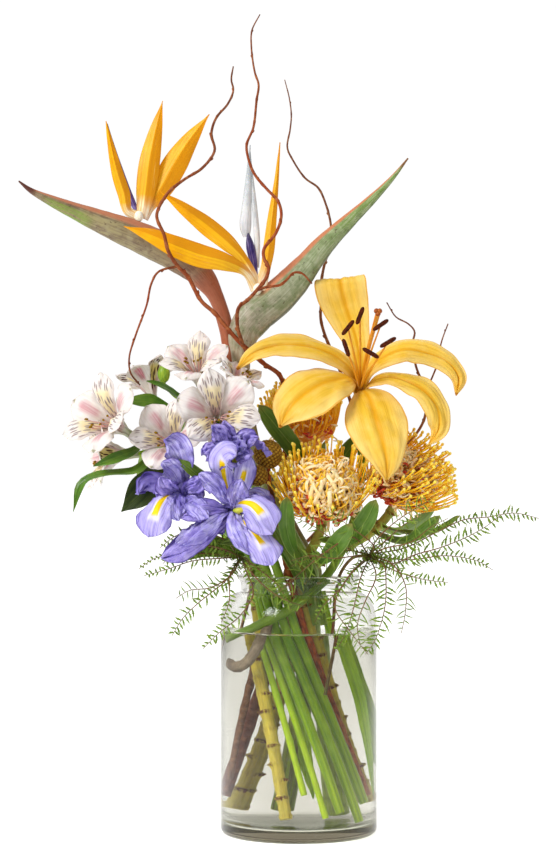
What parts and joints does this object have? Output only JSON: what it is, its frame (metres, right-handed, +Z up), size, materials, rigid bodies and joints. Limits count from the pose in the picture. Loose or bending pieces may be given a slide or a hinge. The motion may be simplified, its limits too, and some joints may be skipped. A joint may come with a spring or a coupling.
{
  "type": "bird of paradise bouquet in a glass vase",
  "caption": "Mixed cut-flower bouquet crowned by bird of paradise blooms, standing in the water of a clear glass jar vase.",
  "frame": {"origin": "middle of the vase's flat foot, on the surface that it stands on", "axes": "+Z up, -Y towards the bouquet's front, +X to the right of the front"},
  "size_m": [0.3849, 0.1633, 0.6123],
  "materials": {
    "anther": "powdery",
    "bark": "smooth bark",
    "fern": "matte",
    "glass": "clear, polished",
    "green_stem": "smooth",
    "iris_petal": "thin petal",
    "lily_petal": "soft, finely veined",
    "pincushion": "waxy pins",
    "seed": "fuzzy",
    "sepal": "satin orange petal",
    "spathe": "waxy",
    "tongue": "satin blue petal",
    "water": "clear, still water",
    "white_petal": "thin petal",
    "woody_stem": "dull"
  },
  "bodies": {
    "root": {"alstroemeria_back_left": "white_petal", "alstroemeria_far_left": "white_petal", "alstroemeria_front": "white_petal", "alstroemeria_left_stem": "green_stem", "alstroemeria_low_left": "white_petal", "alstroemeria_middle": "white_petal", "alstroemeria_right": "white_petal", "alstroemeria_right_stem": "green_stem", "alstroemeria_top": "white_petal", "berry_stem": "seed", "fern_left": "fern", "fern_right": "fern", "iris_front_petals": "iris_petal", "iris_front_stem": "green_stem", "iris_left_petals": "iris_petal", "iris_left_stem": "green_stem", "iris_top_petals": "iris_petal", "iris_top_stem": "green_stem", "lily_stamens": "anther", "lily_stem": "green_stem", "lily_tepals": "lily_petal", "pincushion_back_head": "pincushion", "pincushion_back_stem": "woody_stem", "pincushion_front_head": "pincushion", "pincushion_front_stem": "woody_stem", "pincushion_right_head": "pincushion", "pincushion_right_stem": "woody_stem", "strelitzia_left_sepals": "sepal", "strelitzia_left_spathe": "spathe", "strelitzia_left_tongue": "tongue", "strelitzia_right_sepals": "sepal", "strelitzia_right_spathe": "spathe", "strelitzia_right_tongue": "tongue", "vase": "glass", "water": "water", "willow_back": "bark", "willow_left": "bark"}
  },
  "joints": []
}
